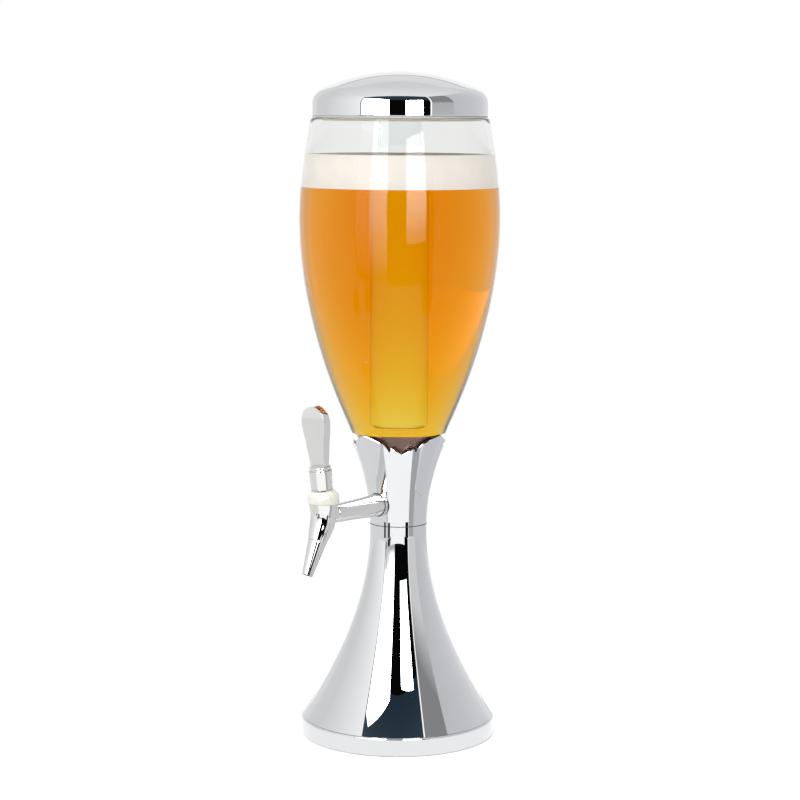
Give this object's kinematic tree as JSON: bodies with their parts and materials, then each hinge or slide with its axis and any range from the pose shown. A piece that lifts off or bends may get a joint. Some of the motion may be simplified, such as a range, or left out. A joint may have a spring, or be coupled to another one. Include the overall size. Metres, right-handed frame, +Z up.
{
  "type": "beer tower dispenser",
  "caption": "Tabletop drink tower: clear pear-shaped vessel with ice tube and lift-off lid on a chrome flared foot, served by a lever tap.",
  "frame": {"origin": "centre of the foot on the plane of the table, under the tower's axis", "axes": "+Z up along the tower's axis; the tap points along -Y; +X to the right of someone facing the tap"},
  "size_m": [0.1692, 0.2043, 0.5653],
  "materials": {
    "pad_rubber": "matte",
    "plate_plastic": "matte",
    "zinc_steel": "satin",
    "mirror_plating": "polished",
    "ballast_iron": "matte",
    "chamber_plastic": "satin",
    "clear_plastic": "gloss",
    "clear_tube_plastic": "gloss",
    "liner_plastic": "satin",
    "seal_silicone": "satin",
    "dark_seal": "matte",
    "bonnet_plastic": "satin",
    "lever_steel": "satin",
    "shank_brass": "satin"
  },
  "bodies": {
    "tower": {"anti_slip_pad": "pad_rubber", "bottom_plate": "plate_plastic", "plate_screws": "zinc_steel", "foot_ring": "mirror_plating", "base_shell": "mirror_plating", "ballast_weight": "ballast_iron", "tie_rod": "zinc_steel", "tie_rod_washer": "zinc_steel", "tie_rod_nut": "zinc_steel", "petal_collar": "mirror_plating", "neck_chamber": "chamber_plastic", "vessel_seal_ring": "seal_silicone", "vessel_foot": "chamber_plastic", "vessel": "clear_plastic", "tap_shank": "shank_brass", "shank_sleeve": "mirror_plating", "shank_gasket_outer": "dark_seal", "shank_gasket_inner": "dark_seal", "shank_nut": "shank_brass", "tap_body": "mirror_plating", "spout_nozzle": "mirror_plating", "bonnet": "bonnet_plastic", "lever_seal": "dark_seal"},
    "lid": {"lid_shell": "mirror_plating", "lid_liner": "liner_plastic", "lid_seal_ring": "seal_silicone", "ice_tube": "clear_tube_plastic"},
    "lever": {"lever_core": "lever_steel", "lever_ferrule": "mirror_plating", "tap_handle": "mirror_plating"},
    "valve": {"valve_stem": "lever_steel", "valve_washer": "dark_seal"}
  },
  "joints": [
    {"name": "tap_pull", "type": "hinge", "parent": "tower", "child": "lever", "pos_m": [0, -0.0958, 0.21], "axis": [1, 0, 0], "range_deg": [0, 17]},
    {"name": "valve_slide", "type": "slide", "parent": "tower", "child": "valve", "axis": [0, 1, 0], "range_m": [0, 0.0026]},
    {"name": "lid_lift", "type": "slide", "parent": "tower", "child": "lid", "axis": [0, 0, 1], "range_m": [0, 0.262]}
  ],
  "couplings": [
    {"joint": "valve_slide", "follows": "tap_pull", "m_per_rad": 0.0084}
  ]
}
